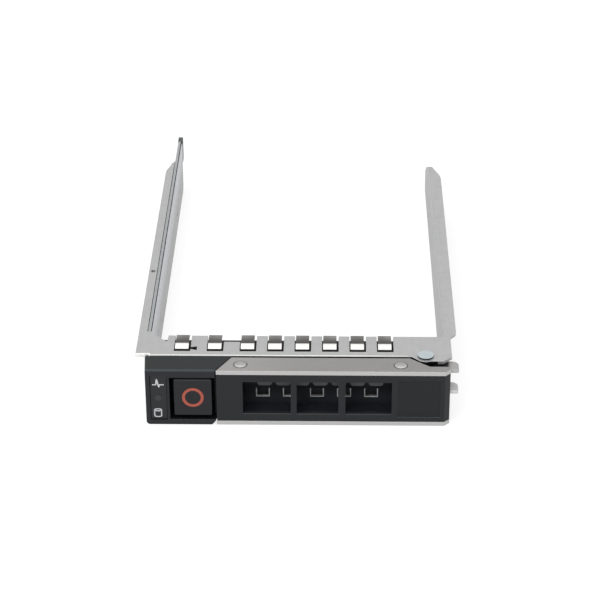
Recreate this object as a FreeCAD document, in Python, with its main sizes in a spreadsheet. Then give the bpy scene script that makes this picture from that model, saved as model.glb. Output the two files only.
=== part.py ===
import FreeCAD, Part
import os
import re
import Sketcher

# A hot swap drive caddy: a folded sheet frame that carries one small drive between two
# rails, with a plastic bezel, a release button and a swing-out handle with cam hooks.
# Lengths are in millimetres.  Each sub-part is drawn with X across the caddy (0 in the
# middle of the drive bay), Y towards the rear (0 at the face of the bezel) and Z up
# (0 at the underside), and its Placement moves it back so that the middle is the origin.

SIZES = {
    # the whole caddy
    "overall_length": 133.0,
    "frame_height": 14.8,
    "flange_outer": 38.4,
    # how far inside the flange's outer edge the rail's inner face and the ear's side lie
    "wall_inner": 3.25,
    "plate_right": 1.5,
    "sheet": 0.8,
    "fit_gap": 0.3,
    "close_gap": 0.1,
    # cross plates at the front of the frame
    "plate_front": 7.05,
    "plate_rear": 16.65,
    "plate_edge_step": 0.55,
    "corner_notch": 4.1,
    "notch_depth": 2.9,
    "ear_radius": 2.75,
    "ear_front": 5.05,
    "ear_corner": 2.1,
    "ear_corner_depth": 2.15,
    "vent_wall_front": 8.2,
    "vent_wall_left": -13.4,
    "vent_wall_right": 26.8,
    "vent_width": 3.2,
    "vent_pitch": 6.5,
    "vent_first_x": -8.15,
    "vent_low": 3.0,
    "vent_high": 5.3,
    "duct_roof": 2.0,
    "duct_wall": 1.2,
    # rails
    "wall_front_left": 8.0,
    "wall_front_right": 17.3,
    "flange_front_right": 19.2,
    "flange_tip_inset": 2.2,
    "nose_mid_height": 10.1,
    "nose_end_height": 5.8,
    "nose_corner": 1.4,
    "shelf_height": 7.8,
    "channel_width": 1.25,
    "channel_front": 19.5,
    "slot_front": 18.6,
    "locating_hole_y": 49.7,
    "locating_hole_inset": 1.05,
    "locating_hole_radius": 0.45,
    # how far before the rear end each of these stops
    "flange_end_left": 22.7,
    "flange_tip_left": 16.6,
    "flange_end_right": 27.3,
    "flange_tip_right": 20.0,
    "nose_mid": 10.1,
    "nose_end": 3.3,
    "left_wall_end": 4.0,
    "pipe_end": 3.0,
    # drive screw holes, at the places that small drives have them
    "screw_rear": 103.65,
    "screw_spacing": 76.6,
    "screw_height": 3.3,
    "screw_hole_radius": 1.6,
    # spring finger strip
    "finger_last_x": 21.0,
    "finger_pitch": 6.56,
    "finger_wide_pitch": 7.85,
    "finger_width": 3.2,
    "finger_rise": 0.6,
    "finger_front": 9.85,
    "finger_crest": 11.95,
    "finger_knee": 0.75,
    "finger_fall": 0.35,
    "finger_tail": 0.95,
    "finger_overhang": 0.3,
    "slot_side_gap": 0.25,
    "slot_right_gap": 0.5,
    "barb_slot": 2.0,
    "strip": 0.2,
    "band_depth": 1.4,
    # bezel housing, its window and the light pipes
    "bezel_left": 35.6,
    "bezel_flare": 0.5,
    "bezel_lower_round": 0.9,
    "bezel_upper_round": 0.45,
    "bezel_rear": 6.85,
    "block_top_gap": 0.4,
    "block_right": -18.5,
    "slope_gap": 0.05,
    "chamfer": 1.15,
    "pocket_left": -29.95,
    "pocket_right": -19.45,
    "pocket_low": 1.4,
    "pocket_rear": 7.8,
    "mouth_depth": 3.5,
    "panel_left": -34.55,
    "panel_right": -30.5,
    "panel_low": 1.2,
    "panel_recess": 0.3,
    "panel_depth": 0.95,
    "pipe_width": 0.7,
    "pipe_height": 2.7,
    "pipe_front_x": -32.6,
    "pipe_bend_front": 8.0,
    "pipe_bend_rear": 14.0,
    "pipe_clearance": 0.25,
    "pipe_roof_gap": 0.45,
    "cover": 0.3,
    # release button and latch
    "button_left": -28.85,
    "button_right": -20.0,
    "button_low": 2.6,
    "button_corner": 0.35,
    "button_face": 0.1,
    "button_wall": 1.0,
    "button_skirt_rear": 5.9,
    "stem_width": 3.4,
    "stem_rear": 12.2,
    "stem_bevel": 2.5,
    "button_travel": 1.5,
    "latch_travel": 1.0,
    "pawl_front": 9.9,
    "pawl_lead": 0.4,
    "pawl_rear": 15.2,
    "pawl_left": -28.2,
    "pawl_thickness": 2.0,
    "nose_front": 8.1,
    "nose_width": 1.3,
    "nose_length": 1.0,
    "spring_wire": 0.45,
    "spring_radius": 2.85,
    "spring_turns": 5,
    # handle
    "pivot_x": 30.65,
    "pivot_y": 7.5,
    "pin_radius": 1.3,
    "pin_head_radius": 1.95,
    "pin_head": 0.4,
    "running_fit": 0.06,
    "handle_plate": 1.05,
    "handle_left": -18.85,
    "handle_left_rear": -15.4,
    "handle_rear": 6.3,
    "handle_right": 36.4,
    "handle_step_y": 2.5,
    "handle_step_x": 31.5,
    "handle_step_start": 26.9,
    "handle_corner": 1.3,
    "stud_left_x": -13.2,
    "stud_right_x": 24.65,
    "stud_y": 3.05,
    "stud_radius": 1.6,
    "stud_neck": 0.9,
    "stud_reach": 1.5,
    "grille_wall": 1.3,
    "window_rim": 1.2,
    "window_low": 3.0,
    "window_1_left": -12.65,
    "window_1_right": -1.25,
    "window_2_left": 0.1,
    "window_2_right": 10.0,
    "window_3_left": 11.65,
    "window_3_right": 22.6,
    "label_left": 24.0,
    "label_right": 34.2,
    "label_low": 2.3,
    "label_recess": 0.2,
    "rib_width": 3.5,
    "rib_pitch": 4.4,
    "rib_first_x": -7.5,
    "rib_front": 3.2,
    "rib_bevel": 0.5,
    "rib_thickness": 1.2,
    "catch_left": -14.8,
    "catch_thickness": 0.9,
    "catch_height": 2.6,
    "catch_rear": 10.3,
    "barb": 0.7,
    # cam bracket on the handle
    "cam_sheet": 0.9,
    "cam_disc": 2.9,
    "cam_front": 3.1,
    "cam_rear": 6.9,
    "cam_low": 7.1,
    "cam_tongue_left": 1.75,
    "tongue_reach": 1.6,
    "cam_hook_corner": 1.6,
    "spacer_radius": 2.0,
    "pivot_spring_radius": 2.5,
    "pivot_spring_wire": 0.5,
    "pivot_spring_turns": 7,
    "bezel_screw_radius": 0.9,
    "bezel_screw_head": 1.6,
    "bezel_screw_length": 4.4,
    "bezel_screw_y": 12.2,
    "bezel_screw_inset": 0.3,
    # how far below the top of the frame each of these stops
    "pocket_high": 1.95,
    "panel_high": 1.5,
    "button_high": 2.55,
    "ferrule_top": 0.3,
    "window_high": 3.0,
    "label_high": 2.4,
    "rib_low": 5.8,
}

FINGERS = 8
VENTS = 5
RIBS = 7

doc = FreeCAD.newDocument("DriveCaddy")
sheet = doc.addObject("Spreadsheet::Sheet", "Sizes")
for row, (alias, number) in enumerate(SIZES.items(), start=1):
    sheet.set(f"A{row}", alias.replace("_", " "))
    sheet.set(f"B{row}", str(number))
    sheet.setAlias(f"B{row}", alias)
doc.recompute()


# places that several pieces share
WALL = "(flange_outer - wall_inner)"
CHANNEL = f"({WALL} + channel_width)"
PLATE_RIGHT = "(flange_outer - plate_right)"
UNDER = "(frame_height - sheet)"
ROOF = "(frame_height - sheet - block_top_gap)"
BUTTON_TOP = "(frame_height - button_high)"
WINDOW_TOP = "(frame_height - window_high)"
PIPE_END = "(overall_length - pipe_end)"
STEM_X = "((button_left + button_right) / 2)"
STEM_Z = f"((button_low + {BUTTON_TOP}) / 2)"
PIPE_X = f"(-{CHANNEL} + close_gap + pipe_width / 2)"
RAMP = "(latch_travel / button_travel)"


def value(expression):
    """The number that an expression of the sheet's aliases comes to."""
    return float(sheet.evalExpression(str(expression)))


def cells(expression):
    """The same expression as another object of the document has to write it."""
    return re.sub(r"[a-z]\w*", lambda word: "Sizes." + word.group(0)
                  if word.group(0) in SIZES else word.group(0), str(expression))


def new_body(name):
    body = doc.addObject("PartDesign::Body", name)
    body.Label = name
    seat(body)
    return body


def seat(thing):
    """Move a sub-part from the bezel's face to the middle of the caddy."""
    thing.setExpression("Placement.Base.y", cells("-overall_length / 2"))


def plane_of(body, role):
    for feature in body.Origin.OriginFeatures:
        if feature.Role == role + "_Plane":
            return feature


def sketch(body, name, plane, level, loops):
    """A sketch on one of the body's origin planes, moved to a level along its normal.

    A loop is a list of corners, each a pair of expressions, or a circle's centre and
    radius.  Every corner is held by two dimensions that are bound to the sheet.
    """
    drawing = body.newObject("Sketcher::SketchObject", name)
    drawing.AttachmentSupport = [(plane_of(body, plane), "")]
    drawing.MapMode = "FlatFace"
    drawing.setExpression("AttachmentOffset.Base.z", cells(level))
    for loop in loops:
        if len(loop) == 3 and not isinstance(loop[0], tuple):
            draw_circle(drawing, *loop)
        else:
            draw_polygon(drawing, loop)
    return drawing


def hold(drawing, geometry, point, corner):
    for kind, expression in zip(("DistanceX", "DistanceY"), corner):
        index = drawing.addConstraint(
            Sketcher.Constraint(kind, -1, 1, geometry, point, value(expression)))
        drawing.setExpression(f"Constraints[{index}]", cells(expression))


def draw_polygon(drawing, corners):
    places = [FreeCAD.Vector(value(u), value(v), 0) for u, v in corners]
    first = drawing.GeometryCount
    count = len(places)
    for i in range(count):
        drawing.addGeometry(Part.LineSegment(places[i], places[(i + 1) % count]), False)
    for i in range(count):
        following = first + (i + 1) % count
        drawing.addConstraint(Sketcher.Constraint("Coincident", first + i, 2, following, 1))
        hold(drawing, first + i, 1, corners[i])


def draw_circle(drawing, u, v, radius):
    centre = FreeCAD.Vector(value(u), value(v), 0)
    circle = drawing.addGeometry(
        Part.Circle(centre, FreeCAD.Vector(0, 0, 1), value(radius)), False)
    hold(drawing, circle, 3, (u, v))
    index = drawing.addConstraint(Sketcher.Constraint("Radius", circle, value(radius)))
    drawing.setExpression(f"Constraints[{index}]", cells(radius))


def pad(body, name, plane, level, length, loops):
    """Add material from the level towards +X, +Y or +Z."""
    drawing = sketch(body, name + "_sketch", plane, along(plane, level), loops)
    feature = body.newObject("PartDesign::Pad", name)
    feature.Profile = drawing
    feature.Reversed = plane == "XZ"
    feature.setExpression("Length", cells(length))
    doc.recompute()
    return feature


def cut(body, name, plane, level, length, loops):
    """Remove material from the level towards +X, +Y or +Z."""
    before = body.Shape.Volume
    drawing = sketch(body, name + "_sketch", plane, along(plane, level), loops)
    feature = body.newObject("PartDesign::Pocket", name)
    feature.Profile = drawing
    feature.Reversed = plane != "XZ"
    feature.setExpression("Length", cells(length))
    doc.recompute()
    if body.Shape.Volume > before - 1e-6:
        raise RuntimeError(f"{name} cuts nothing")
    return feature


def along(plane, level):
    """The XZ plane's normal points to -Y, so its levels change sign."""
    return f"-({level})" if plane == "XZ" else level


def box(left, right, low, high):
    return [(left, low), (right, low), (right, high), (left, high)]


def edges_at(shape, axis, places):
    """Names of the straight edges parallel to an axis (0, 1 or 2) that pass through the
    places, or, with no axis, of those that have the places as their middles."""
    others = [i for i in range(3) if i != axis]
    names = []
    for number, edge in enumerate(shape.Edges, start=1):
        if not isinstance(edge.Curve, Part.Line):
            continue
        start, end = edge.Vertexes[0].Point, edge.Vertexes[-1].Point
        point = start if axis is not None else (start + end) / 2
        if axis is not None and max(abs(start[i] - end[i]) for i in others) > 1e-6:
            continue
        for place in places:
            if max(abs(point[i] - place[k]) for k, i in enumerate(others)) < 0.02:
                names.append(f"Edge{number}")
    return names


def round_edges(body, name, radius, axis, places):
    """Round the straight edges that edges_at finds."""
    base = body.Tip
    places = [tuple(value(part) for part in place) for place in places]
    names = edges_at(base.Shape, axis, places)
    if len(names) < len(places):
        raise RuntimeError(f"{name} finds {len(names)} of {len(places)} edges")
    feature = body.newObject("PartDesign::Fillet", name)
    feature.Base = (base, names)
    feature.setExpression("Radius", cells(radius))
    doc.recompute()
    return feature


def finger_x(i):
    """Centre of a spring finger, counted from the left: the first two stand wider."""
    if i >= 2:
        return f"(finger_last_x - {FINGERS - 1 - i} * finger_pitch)"
    return f"(finger_last_x - {FINGERS - 3} * finger_pitch - {2 - i} * finger_wide_pitch)"


def ear_front_edge():
    """The cross plate's edge round the pivot, from the left: a slope, a nose, a corner."""
    return [
        ("pivot_x - 1.21 * ear_radius", "plate_front"),
        ("pivot_x - 0.87 * ear_radius", "pivot_y - 0.49 * ear_radius"),
        ("pivot_x - 0.5 * ear_radius", "pivot_y - 0.87 * ear_radius"),
        ("pivot_x", "pivot_y - ear_radius"),
        ("pivot_x + 0.55 * ear_radius", "ear_front"),
        (f"{PLATE_RIGHT} - ear_corner", "ear_front"),
        (f"{PLATE_RIGHT} - 0.62 * ear_corner", "ear_front + 0.4 * ear_corner_depth"),
        (f"{PLATE_RIGHT} - 0.33 * ear_corner", "ear_front + 0.74 * ear_corner_depth"),
        (PLATE_RIGHT, "ear_front + ear_corner_depth"),
    ]


def make_carrier_frame():
    """One folded sheet: two cross plates, a vent wall between them and two rails."""
    body = new_body("carrier_frame")
    half_step = "sheet / 5"
    flange_left_end = "(overall_length - flange_end_left)"
    flange_left_tip = "(overall_length - flange_tip_left)"
    flange_right_end = "(overall_length - flange_end_right)"
    flange_right_tip = "(overall_length - flange_tip_right)"
    nose = "(overall_length - nose_end)"
    left_end = "(overall_length - left_wall_end)"
    # top sheet with both flanges, drawn as one blank
    pad(body, "top_sheet", "XY", UNDER, "sheet", [
        [("-flange_outer", "plate_front + plate_edge_step"),
         (f"-{WALL} - {half_step}", "plate_front + plate_edge_step"),
         (f"-{WALL} + {half_step}", "plate_front")]
        + ear_front_edge()
        + [(PLATE_RIGHT, "plate_rear"),
           (f"flange_outer - {half_step}", "flange_front_right - sheet"),
           ("flange_outer", "flange_front_right"), ("flange_outer", flange_right_end),
           ("flange_outer - sheet / 2", f"{flange_right_end} + flange_tip_inset"),
           ("flange_outer - flange_tip_inset", flange_right_tip),
           (WALL, flange_right_tip), (WALL, "plate_rear"),
           (f"-{WALL} + corner_notch", "plate_rear"),
           (f"-{WALL} + corner_notch - sheet / 4", "plate_rear - notch_depth"),
           (f"-{WALL} + 0.63 * corner_notch", "plate_rear - 0.6 * notch_depth"),
           (f"-{WALL}", "slot_front - plate_edge_step"),
           (f"-{WALL}", "slot_front"), (f"-{CHANNEL}", "slot_front"),
           (f"-{CHANNEL}", flange_left_tip), ("-flange_outer + sheet / 4", flange_left_end),
           ("-flange_outer", f"{flange_left_end} - 2 * sheet")]])
    pad(body, "lower_plate", "XY", "0", "sheet", [
        [(f"-{WALL} - sheet", "wall_front_left"), (f"-{WALL} + {half_step}", "plate_front")]
        + ear_front_edge()[:-3]
        + [(f"{WALL} + sheet", "ear_front + 0.55 * ear_corner_depth"),
           (f"{WALL} + sheet", "plate_rear"), (f"-{WALL} - sheet", "plate_rear")]])
    pad(body, "vent_wall", "XZ", "vent_wall_front", "sheet", [
        box("vent_wall_left", "vent_wall_right", "sheet / 2", "frame_height - sheet / 2")])
    # rails
    pad(body, "right_wall", "YZ", WALL, "sheet", [
        [("wall_front_right", "0"), (f"{nose} - nose_corner", "0"), (nose, "nose_corner"),
         (nose, "nose_end_height"), ("overall_length - nose_mid", "nose_mid_height"),
         (flange_right_tip, "frame_height"), ("wall_front_right", "frame_height")]])
    pad(body, "left_lower_wall", "YZ", f"-{WALL} - sheet", "sheet", [
        [("wall_front_left", "0"), (f"{left_end} - nose_corner", "0"),
         (left_end, "nose_corner"), (left_end, "shelf_height"),
         ("wall_front_left", "shelf_height")]])
    pad(body, "left_shelf", "XZ", "channel_front", f"{left_end} - channel_front", [
        box(f"-{CHANNEL}", f"-{WALL}", "shelf_height - sheet", "shelf_height")])
    pad(body, "left_upper_wall", "XZ", "channel_front",
        f"{flange_left_tip} - 2 * sheet - channel_front", [
            box(f"-{CHANNEL} - sheet", f"-{CHANNEL}", "shelf_height - sheet", "frame_height")])
    # openings
    for i in range(FINGERS):
        cut(body, f"finger_slot_{i + 1}", "XY", f"{UNDER} - close_gap", "sheet + 2 * close_gap", [
            box(f"{finger_x(i)} - finger_width / 2 - slot_side_gap",
                f"{finger_x(i)} + finger_width / 2 + slot_right_gap",
                "finger_front - 2 * fit_gap", "plate_rear + sheet")])
    cut(body, "lock_notch", "XY", f"{UNDER} - close_gap", "sheet + 2 * close_gap", [
        box(f"{finger_x(1)} + finger_width / 2 + slot_right_gap",
            f"{finger_x(2)} - finger_width / 2 - slot_side_gap",
            "plate_rear - notch_depth", "plate_rear + sheet")])
    barb_left = f"{finger_x(0)} + finger_width / 2"
    cut(body, "barb_slot", "XY", f"{UNDER} - close_gap", "sheet + 2 * close_gap", [
        [(barb_left, "finger_front + 0.3 * barb_slot"),
         (f"{barb_left} + barb_slot", "finger_front - 0.1 * barb_slot"),
         (f"{barb_left} + barb_slot", "finger_front + 0.8 * barb_slot"),
         (barb_left, "finger_front + 0.6 * barb_slot")]])
    for i in range(VENTS):
        cut(body, f"vent_{i + 1}", "XZ", "vent_wall_front - sheet", "3 * sheet", [vent(i)])
    cut(body, "pivot_holes", "XY", "-sheet", "frame_height + 2 * sheet", [
        ("pivot_x", "pivot_y", "pin_radius + running_fit")])
    holes = [("screw_rear", "screw_height", "screw_hole_radius"),
             ("screw_rear - screw_spacing", "screw_height", "screw_hole_radius")]
    cut(body, "drive_screw_holes", "YZ", f"-{WALL} - 2 * sheet", f"2 * {WALL} + 4 * sheet", holes)
    cut(body, "locating_hole", "XY", f"{UNDER} - close_gap", "sheet + 2 * close_gap", [
        ("-flange_outer + locating_hole_inset", "locating_hole_y", "locating_hole_radius")])
    cut(body, "bezel_screw_holes", "XY", "-sheet", "2.5 * sheet", [
        (x, "bezel_screw_y", "bezel_screw_head + close_gap") for x in bezel_screw_xs()])
    # the bend between the flange and the wall, on the inside of the right rail
    round_edges(body, "right_bend", "0.7 * sheet", 1, [(WALL, "frame_height")])
    return body


def vent(i):
    """Outline of one air vent, counted from the left."""
    centre = f"vent_first_x + {i} * vent_pitch"
    return box(f"{centre} - vent_width / 2", f"{centre} + vent_width / 2",
               "vent_low", "vent_high")


def make_vent_duct():
    """Moulding behind the vent wall: it leads the air on and roofs the handle's catch."""
    body = new_body("vent_duct")
    front = "(vent_wall_front + sheet + close_gap)"
    rear = "(plate_rear - close_gap)"
    pad(body, "block", "XY", "sheet", f"{ROOF} - sheet", [
        box("vent_wall_left + close_gap", "vent_wall_right - close_gap", front, rear)])
    pad(body, "roof", "XY", f"{ROOF} - duct_roof", "duct_roof", [
        box("block_right + fit_gap", "vent_wall_left + duct_wall", front, rear)])
    for i in range(VENTS):
        cut(body, f"duct_{i + 1}", "XZ", "vent_wall_front", "plate_rear", [vent(i)])
    # the moulding is cored out from the rear above each duct
    for i in range(VENTS):
        centre = f"vent_first_x + {i} * vent_pitch"
        cut(body, f"core_{i + 1}", "XZ", f"{front} + duct_wall", "plate_rear", [
            box(f"{centre} - (vent_pitch - duct_wall) / 2",
                f"{centre} + (vent_pitch - duct_wall) / 2",
                "vent_high + duct_wall", f"{ROOF} - duct_wall")])
    return body


def bezel_screw_xs():
    return ["pocket_left + bezel_screw_inset", "pocket_right - 3 * bezel_screw_inset"]


def make_emi_spring_strip():
    """Thin spring strip under the top plate, with arched fingers through its slots."""
    body = new_body("emi_spring_strip")
    crest = "frame_height + finger_rise"
    band_front = "(vent_wall_front + sheet + close_gap)"
    pad(body, "band", "XY", f"{UNDER} - strip", "strip", [
        box(f"{finger_x(0)} - finger_width / 2", f"{finger_x(FINGERS - 1)} + finger_width / 2",
            band_front, f"{band_front} + band_depth")])
    # outside of the arch from its foot to its tail, then the inside back to the foot
    arch = [
        ("finger_front", f"{UNDER} - strip"),
        ("finger_front", f"{crest} - finger_knee"),
        ("finger_front + 0.45 * finger_knee", f"{crest} - 0.64 * finger_knee"),
        ("finger_crest - 0.6 * finger_knee", f"{crest} - 0.07 * finger_knee"),
        ("finger_crest", crest),
        ("finger_crest + finger_knee", f"{crest} - 0.14 * finger_fall"),
        ("plate_rear - 0.5 * finger_overhang", f"{crest} - finger_fall"),
        ("plate_rear + 0.3 * finger_overhang", f"{crest} - finger_fall - 0.6 * strip"),
        ("plate_rear + finger_overhang", f"{crest} - finger_tail"),
        ("plate_rear + finger_overhang - strip", f"{crest} - finger_tail"),
        ("plate_rear - 0.5 * finger_overhang - 0.4 * strip",
         f"{crest} - finger_fall - strip"),
        ("finger_crest + finger_knee", f"{crest} - 0.14 * finger_fall - strip"),
        ("finger_crest", f"{crest} - strip"),
        ("finger_crest - 0.55 * finger_knee", f"{crest} - 0.07 * finger_knee - strip"),
        ("finger_front + 0.55 * finger_knee", f"{crest} - 0.64 * finger_knee - strip"),
        ("finger_front + strip", f"{crest} - finger_knee - 0.4 * strip"),
        ("finger_front + strip", f"{UNDER} - strip"),
    ]
    for i in range(FINGERS):
        pad(body, f"finger_{i + 1}", "YZ", f"{finger_x(i)} - finger_width / 2",
            "finger_width", [arch])
    return body


def make_bezel_housing():
    """Moulded block at the left of the face, with a tail that the frame's plates hold."""
    body = new_body("bezel_housing")
    slope = "((handle_left_rear - handle_left) / handle_rear)"
    right = "(handle_left - fit_gap - slope_gap)"
    pocket_top = "(frame_height - pocket_high)"
    panel_top = "(frame_height - panel_high)"
    pad(body, "front_block", "XY", "0", "frame_height", [
        [("-bezel_left", "0"), (right, "0"),
         (f"{right} + {slope} * bezel_rear", "bezel_rear"),
         ("-bezel_left - bezel_flare", "bezel_rear")]])
    pad(body, "tail", "XY", "sheet", f"{ROOF} - sheet", [
        box(f"-{WALL} + close_gap", "block_right", "bezel_rear - sheet",
            "plate_rear - close_gap")])
    cut(body, "corner_chamfer", "XZ", "-fit_gap", "bezel_rear + 2 * fit_gap", [
        [("handle_left - chamfer", "-fit_gap"), ("handle_left + 4 * chamfer", "-fit_gap"),
         ("handle_left + 4 * chamfer", "5.13 * chamfer"),
         ("handle_left - 0.13 * chamfer", "chamfer"), ("handle_left - chamfer", "0")]])
    cut(body, "button_pocket", "XZ", "-fit_gap", "pocket_rear + fit_gap", [
        box("pocket_left", "pocket_right", "pocket_low", pocket_top)])
    cut(body, "pocket_mouth", "XZ", "-fit_gap", "mouth_depth + fit_gap", [
        box("pocket_left + chamfer", "handle_left + 2 * chamfer", "pocket_low", pocket_top)])
    cut(body, "window_recess", "XZ", "-fit_gap", "panel_depth + fit_gap", [
        box("panel_left", "panel_right", "panel_low", panel_top)])
    channel_low = "(panel_low + panel_recess)"
    cut(body, "pipe_channel", "XY", channel_low, f"{ROOF} - {channel_low}", [
        pipe_plan("pipe_clearance", "panel_depth - close_gap", "slot_front")])
    cut(body, "stem_bore", "XZ", "pocket_rear - sheet", "plate_rear", [
        box(f"{STEM_X} - stem_width / 2 - fit_gap", f"{STEM_X} + stem_width / 2 + fit_gap",
            f"{STEM_Z} - stem_width / 2 - fit_gap", f"{STEM_Z} + stem_width / 2 + fit_gap")])
    cut(body, "pawl_slot", "XY", f"{STEM_Z} - pawl_thickness / 2 - fit_gap",
        "pawl_thickness + 2 * fit_gap", [
            box("pawl_left - latch_travel - fit_gap", "block_right + sheet",
                "pawl_front - pawl_lead - fit_gap", "pawl_rear + fit_gap")])
    cut(body, "catch_clearance", "XY", f"{STEM_Z} - catch_height / 2 - close_gap - fit_gap",
        "catch_height + 2 * close_gap + 2 * fit_gap", [
            box("catch_left - barb - 2 * fit_gap", "handle_left_rear + catch_thickness",
                "handle_rear - catch_height / 2", "bezel_rear + sheet")])
    for i, x in enumerate(bezel_screw_xs()):
        cut(body, f"screw_bore_{i + 1}", "XY", "sheet / 2", "bezel_screw_length", [
            (x, "bezel_screw_y", "bezel_screw_radius + close_gap / 2")])
    for name, radius, height in (("lower_round", "bezel_lower_round", "0"),
                                 ("upper_round", "bezel_upper_round", "frame_height")):
        round_edges(body, name, radius, None, [
            ("-bezel_left - bezel_flare / 2", "bezel_rear / 2", height)])
    return body


def pipe_plan(margin, front, rear):
    """Plan of a light pipe: straight from the window, over to the rail, along it."""
    half = f"(pipe_width / 2 + {margin})"
    return [
        (f"pipe_front_x + {half}", front),
        (f"pipe_front_x + {half}", f"pipe_bend_front + 0.5 * {half}"),
        (f"{PIPE_X} + {half}", f"pipe_bend_rear + 0.5 * {half}"),
        (f"{PIPE_X} + {half}", rear),
        (f"{PIPE_X} - {half}", rear),
        (f"{PIPE_X} - {half}", f"pipe_bend_rear - 0.5 * {half}"),
        (f"pipe_front_x - {half}", f"pipe_bend_front - 0.5 * {half}"),
        (f"pipe_front_x - {half}", front),
    ]


def make_indicator_window():
    body = new_body("indicator_window")
    pad(body, "lens", "XZ", "panel_recess", "panel_depth - panel_recess", [
        box("panel_left + close_gap", "panel_right - close_gap",
            "panel_low + close_gap", "frame_height - panel_high - close_gap")])
    return body


def make_light_pipe_lower():
    """Clear bar from behind the window to the rail's tip, with a foot at the lower icon."""
    body = new_body("light_pipe_lower")
    low = "(shelf_height + close_gap / 2)"
    foot = "(panel_low + panel_recess + close_gap)"
    pad(body, "bar", "XY", low, "pipe_height", [pipe_plan("0", "panel_depth", PIPE_END)])
    pad(body, "foot", "XY", foot, f"{low} - {foot} + pipe_width", [
        box("pipe_front_x - pipe_width / 2", "pipe_front_x + pipe_width / 2",
            "panel_depth", "panel_depth + 2 * pipe_width")])
    return body


def make_light_pipe_upper():
    """The bar above it, which stands higher along the rail, where the sheet has a slot."""
    body = new_body("light_pipe_upper")
    low = "(shelf_height + close_gap / 2 + pipe_height + fit_gap)"
    high = f"({UNDER} - pipe_roof_gap)"
    pad(body, "bar", "XY", low, f"{high} - {low}", [pipe_plan("0", "panel_depth", PIPE_END)])
    pad(body, "ridge", "XY", f"{high} - pipe_roof_gap",
        f"frame_height - fit_gap - {high} + pipe_roof_gap", [
            box(f"{PIPE_X} - pipe_width / 2", f"{PIPE_X} + pipe_width / 2",
                "slot_front + fit_gap", PIPE_END)])
    return body


def make_light_pipe_cover():
    body = new_body("light_pipe_cover")
    rear = f"{PIPE_END} - cover"
    pad(body, "strip", "YZ", f"-{WALL} - cover", "cover", [
        [("slot_front", "shelf_height"), (f"{rear} - sheet", "shelf_height"),
         (rear, "shelf_height + sheet"), (rear, UNDER), ("slot_front", UNDER)]])
    return body


def make_light_pipe_ferrule():
    body = new_body("light_pipe_ferrule")
    top = "frame_height - ferrule_top"
    pad(body, "block", "YZ", f"-{CHANNEL}", "channel_width", [
        [(PIPE_END, "shelf_height"), ("overall_length - sheet", "shelf_height"),
         ("overall_length", "shelf_height + sheet"), ("overall_length", top),
         (PIPE_END, top)]])
    return body


def make_bezel_screws():
    body = new_body("bezel_screws")
    for i, x in enumerate(bezel_screw_xs()):
        pad(body, f"head_{i + 1}", "XY", "0", "sheet", [
            (x, "bezel_screw_y", "bezel_screw_head")])
        pad(body, f"thread_{i + 1}", "XY", "sheet", "bezel_screw_length - sheet", [
            (x, "bezel_screw_y", "bezel_screw_radius")])
        cut(body, f"slot_{i + 1}", "XY", "-sheet", "1.5 * sheet", [
            box(f"{x} - bezel_screw_radius", f"{x} + bezel_screw_radius",
                "bezel_screw_y - sheet / 4", "bezel_screw_y + sheet / 4")])
    return body


def make_release_button():
    """Hollow cap with a square stem whose bevelled end pushes the pawl aside."""
    body = new_body("release_button")
    pad(body, "cap", "XZ", "button_face", "button_skirt_rear - button_face", [
        box("button_left", "button_right", "button_low", BUTTON_TOP)])
    cut(body, "hollow", "XZ", "button_face + 1.6 * button_wall", "button_skirt_rear", [
        box("button_left + button_wall", "button_right - button_wall",
            "button_low + button_wall", f"{BUTTON_TOP} - button_wall")])
    half = "(stem_width / 2)"
    pad(body, "stem", "XY", f"{STEM_Z} - {half}", "stem_width", [
        [(f"{STEM_X} - {half}", "button_face + button_wall"),
         (f"{STEM_X} + {half}", "button_face + button_wall"),
         (f"{STEM_X} + {half}", "stem_rear"),
         (f"{STEM_X} - {half} + {RAMP} * stem_bevel", "stem_rear"),
         (f"{STEM_X} - {half}", "stem_rear - stem_bevel")]])
    round_edges(body, "face_corners", "button_corner", 1, [
        ("button_left", "button_low"), ("button_left", BUTTON_TOP),
        ("button_right", "button_low"), ("button_right", BUTTON_TOP)])
    return body


def make_latch_pawl():
    """Flat fork round the stem: its sloped side follows the stem, its nose holds the catch."""
    body = new_body("latch_pawl")
    ramp_start = "(stem_rear - stem_bevel)"
    stem_left = f"({STEM_X} - stem_width / 2)"
    nose_tip = "(catch_left - barb - fit_gap - close_gap)"
    follower = f"({stem_left} - 1.25 * fit_gap)"
    right_leg = f"({stem_left} + stem_width + latch_travel + fit_gap)"
    bridge = "(stem_rear + button_travel + fit_gap)"
    pad(body, "slider", "XY", f"{STEM_Z} - pawl_thickness / 2", "pawl_thickness", [
        [("pawl_left", "pawl_front - pawl_lead"), (follower, "pawl_front - pawl_lead"),
         (follower, ramp_start),
         (f"{follower} + {RAMP} * ({bridge} - {ramp_start})", bridge),
         (right_leg, bridge), (right_leg, "pawl_front"),
         (f"{nose_tip} - nose_width", "pawl_front"), (f"{nose_tip} - nose_width", "nose_front"),
         (f"{nose_tip} - fit_gap", "nose_front"), (nose_tip, "nose_front + 0.7 * nose_length"),
         (nose_tip, "nose_front + nose_length"),
         (f"{nose_tip} - fit_gap", "nose_front + nose_length"),
         (f"{nose_tip} - fit_gap", "pawl_rear"), ("pawl_left", "pawl_rear")]])
    return body


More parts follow.
